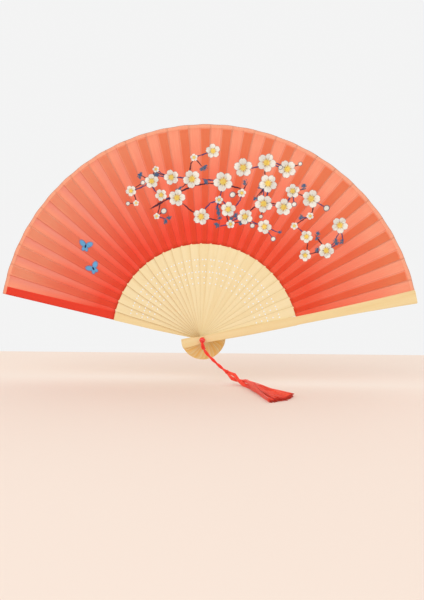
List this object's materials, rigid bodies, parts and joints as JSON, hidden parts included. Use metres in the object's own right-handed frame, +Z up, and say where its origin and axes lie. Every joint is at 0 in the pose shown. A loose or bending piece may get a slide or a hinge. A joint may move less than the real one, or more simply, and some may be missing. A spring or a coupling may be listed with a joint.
{
  "type": "folding hand fan",
  "caption": "Folding hand fan: pierced wooden ribs between two guards on a hollow rivet, a pleated silk leaf, a bead and a tassel; it folds shut about the rivet.",
  "frame": {"origin": "rear mouth of the hollow rivet, on the pivot axis", "axes": "-Y faces the front of the open fan, +Z up the middle of the leaf, +X towards the front guard"},
  "size_m": [0.375, 0.129, 0.229],
  "materials": {
    "guard_wood": "satin, pale straw-yellow",
    "rib_wood": "satin, pale straw-yellow",
    "leaf_silk": "sheer coral silk with a printed blossom pattern",
    "rivet_metal": "polished",
    "washer_metal": "satin",
    "bead": "glossy red",
    "cord_silk": "twisted rayon cord",
    "tassel_silk": "rayon threads"
  },
  "bodies": {
    "front_guard": {"front_guard": "guard_wood", "leaf_panel_00": "leaf_silk", "rivet": "rivet_metal", "washer": "washer_metal", "bead": "bead", "tassel_cord": "cord_silk", "tassel": "tassel_silk"},
    "rib_01": {"rib_01": "rib_wood", "leaf_panel_01": "leaf_silk"},
    "rib_02": {"rib_02": "rib_wood", "leaf_panel_02": "leaf_silk"},
    "rib_03": {"rib_03": "rib_wood", "leaf_panel_03": "leaf_silk"},
    "rib_04": {"rib_04": "rib_wood", "leaf_panel_04": "leaf_silk"},
    "rib_05": {"rib_05": "rib_wood", "leaf_panel_05": "leaf_silk"},
    "rib_06": {"rib_06": "rib_wood", "leaf_panel_06": "leaf_silk"},
    "rib_07": {"rib_07": "rib_wood", "leaf_panel_07": "leaf_silk"},
    "rib_08": {"rib_08": "rib_wood", "leaf_panel_08": "leaf_silk"},
    "rib_09": {"rib_09": "rib_wood", "leaf_panel_09": "leaf_silk"},
    "rib_10": {"rib_10": "rib_wood", "leaf_panel_10": "leaf_silk"},
    "rib_11": {"rib_11": "rib_wood", "leaf_panel_11": "leaf_silk"},
    "rib_12": {"rib_12": "rib_wood", "leaf_panel_12": "leaf_silk"},
    "rib_13": {"rib_13": "rib_wood", "leaf_panel_13": "leaf_silk"},
    "rib_14": {"rib_14": "rib_wood", "leaf_panel_14": "leaf_silk"},
    "rib_15": {"rib_15": "rib_wood", "leaf_panel_15": "leaf_silk"},
    "rib_16": {"rib_16": "rib_wood", "leaf_panel_16": "leaf_silk"},
    "rib_17": {"rib_17": "rib_wood", "leaf_panel_17": "leaf_silk"},
    "rib_18": {"rib_18": "rib_wood", "leaf_panel_18": "leaf_silk"},
    "rib_19": {"rib_19": "rib_wood", "leaf_panel_19": "leaf_silk"},
    "rib_20": {"rib_20": "rib_wood", "leaf_panel_20": "leaf_silk"},
    "rib_21": {"rib_21": "rib_wood", "leaf_panel_21": "leaf_silk"},
    "rib_22": {"rib_22": "rib_wood", "leaf_panel_22": "leaf_silk"},
    "rib_23": {"rib_23": "rib_wood", "leaf_panel_23": "leaf_silk"},
    "rib_24": {"rib_24": "rib_wood", "leaf_panel_24": "leaf_silk"},
    "rib_25": {"rib_25": "rib_wood", "leaf_panel_25": "leaf_silk"},
    "rear_guard": {"rear_guard": "guard_wood", "leaf_panel_26": "leaf_silk"}
  },
  "joints": [
    {"name": "fold_01", "type": "hinge", "parent": "front_guard", "child": "rib_01", "pos_m": [0, -0.0126, 0], "axis": [0, 1, 0], "range_deg": [0, 5.97]},
    {"name": "fold_02", "type": "hinge", "parent": "rib_01", "child": "rib_02", "pos_m": [0, -0.0126, 0], "axis": [0, 1, 0], "range_deg": [0, 5.97]},
    {"name": "fold_03", "type": "hinge", "parent": "rib_02", "child": "rib_03", "pos_m": [0, -0.0126, 0], "axis": [0, 1, 0], "range_deg": [0, 5.97]},
    {"name": "fold_04", "type": "hinge", "parent": "rib_03", "child": "rib_04", "pos_m": [0, -0.0126, 0], "axis": [0, 1, 0], "range_deg": [0, 5.97]},
    {"name": "fold_05", "type": "hinge", "parent": "rib_04", "child": "rib_05", "pos_m": [0, -0.0126, 0], "axis": [0, 1, 0], "range_deg": [0, 5.97]},
    {"name": "fold_06", "type": "hinge", "parent": "rib_05", "child": "rib_06", "pos_m": [0, -0.0126, 0], "axis": [0, 1, 0], "range_deg": [0, 5.97]},
    {"name": "fold_07", "type": "hinge", "parent": "rib_06", "child": "rib_07", "pos_m": [0, -0.0126, 0], "axis": [0, 1, 0], "range_deg": [0, 5.97]},
    {"name": "fold_08", "type": "hinge", "parent": "rib_07", "child": "rib_08", "pos_m": [0, -0.0126, 0], "axis": [0, 1, 0], "range_deg": [0, 5.97]},
    {"name": "fold_09", "type": "hinge", "parent": "rib_08", "child": "rib_09", "pos_m": [0, -0.0126, 0], "axis": [0, 1, 0], "range_deg": [0, 5.97]},
    {"name": "fold_10", "type": "hinge", "parent": "rib_09", "child": "rib_10", "pos_m": [0, -0.0126, 0], "axis": [0, 1, 0], "range_deg": [0, 5.97]},
    {"name": "fold_11", "type": "hinge", "parent": "rib_10", "child": "rib_11", "pos_m": [0, -0.0126, 0], "axis": [0, 1, 0], "range_deg": [0, 5.97]},
    {"name": "fold_12", "type": "hinge", "parent": "rib_11", "child": "rib_12", "pos_m": [0, -0.0126, 0], "axis": [0, 1, 0], "range_deg": [0, 5.97]},
    {"name": "fold_13", "type": "hinge", "parent": "rib_12", "child": "rib_13", "pos_m": [0, -0.0126, 0], "axis": [0, 1, 0], "range_deg": [0, 5.97]},
    {"name": "fold_14", "type": "hinge", "parent": "rib_13", "child": "rib_14", "pos_m": [0, -0.0126, 0], "axis": [0, 1, 0], "range_deg": [0, 5.97]},
    {"name": "fold_15", "type": "hinge", "parent": "rib_14", "child": "rib_15", "pos_m": [0, -0.0126, 0], "axis": [0, 1, 0], "range_deg": [0, 5.97]},
    {"name": "fold_16", "type": "hinge", "parent": "rib_15", "child": "rib_16", "pos_m": [0, -0.0126, 0], "axis": [0, 1, 0], "range_deg": [0, 5.97]},
    {"name": "fold_17", "type": "hinge", "parent": "rib_16", "child": "rib_17", "pos_m": [0, -0.0126, 0], "axis": [0, 1, 0], "range_deg": [0, 5.97]},
    {"name": "fold_18", "type": "hinge", "parent": "rib_17", "child": "rib_18", "pos_m": [0, -0.0126, 0], "axis": [0, 1, 0], "range_deg": [0, 5.97]},
    {"name": "fold_19", "type": "hinge", "parent": "rib_18", "child": "rib_19", "pos_m": [0, -0.0126, 0], "axis": [0, 1, 0], "range_deg": [0, 5.97]},
    {"name": "fold_20", "type": "hinge", "parent": "rib_19", "child": "rib_20", "pos_m": [0, -0.0126, 0], "axis": [0, 1, 0], "range_deg": [0, 5.97]},
    {"name": "fold_21", "type": "hinge", "parent": "rib_20", "child": "rib_21", "pos_m": [0, -0.0126, 0], "axis": [0, 1, 0], "range_deg": [0, 5.97]},
    {"name": "fold_22", "type": "hinge", "parent": "rib_21", "child": "rib_22", "pos_m": [0, -0.0126, 0], "axis": [0, 1, 0], "range_deg": [0, 5.97]},
    {"name": "fold_23", "type": "hinge", "parent": "rib_22", "child": "rib_23", "pos_m": [0, -0.0126, 0], "axis": [0, 1, 0], "range_deg": [0, 5.97]},
    {"name": "fold_24", "type": "hinge", "parent": "rib_23", "child": "rib_24", "pos_m": [0, -0.0126, 0], "axis": [0, 1, 0], "range_deg": [0, 5.97]},
    {"name": "fold_25", "type": "hinge", "parent": "rib_24", "child": "rib_25", "pos_m": [0, -0.0126, 0], "axis": [0, 1, 0], "range_deg": [0, 5.97]},
    {"name": "fold_26", "type": "hinge", "parent": "rib_25", "child": "rear_guard", "pos_m": [0, -0.0126, 0], "axis": [0, 1, 0], "range_deg": [0, 5.97]}
  ],
  "couplings": [
    {"joint": "fold_02", "follows": "fold_01", "ratio": 1},
    {"joint": "fold_03", "follows": "fold_01", "ratio": 1},
    {"joint": "fold_04", "follows": "fold_01", "ratio": 1},
    {"joint": "fold_05", "follows": "fold_01", "ratio": 1},
    {"joint": "fold_06", "follows": "fold_01", "ratio": 1},
    {"joint": "fold_07", "follows": "fold_01", "ratio": 1},
    {"joint": "fold_08", "follows": "fold_01", "ratio": 1},
    {"joint": "fold_09", "follows": "fold_01", "ratio": 1},
    {"joint": "fold_10", "follows": "fold_01", "ratio": 1},
    {"joint": "fold_11", "follows": "fold_01", "ratio": 1},
    {"joint": "fold_12", "follows": "fold_01", "ratio": 1},
    {"joint": "fold_13", "follows": "fold_01", "ratio": 1},
    {"joint": "fold_14", "follows": "fold_01", "ratio": 1},
    {"joint": "fold_15", "follows": "fold_01", "ratio": 1},
    {"joint": "fold_16", "follows": "fold_01", "ratio": 1},
    {"joint": "fold_17", "follows": "fold_01", "ratio": 1},
    {"joint": "fold_18", "follows": "fold_01", "ratio": 1},
    {"joint": "fold_19", "follows": "fold_01", "ratio": 1},
    {"joint": "fold_20", "follows": "fold_01", "ratio": 1},
    {"joint": "fold_21", "follows": "fold_01", "ratio": 1},
    {"joint": "fold_22", "follows": "fold_01", "ratio": 1},
    {"joint": "fold_23", "follows": "fold_01", "ratio": 1},
    {"joint": "fold_24", "follows": "fold_01", "ratio": 1},
    {"joint": "fold_25", "follows": "fold_01", "ratio": 1},
    {"joint": "fold_26", "follows": "fold_01", "ratio": 1}
  ]
}
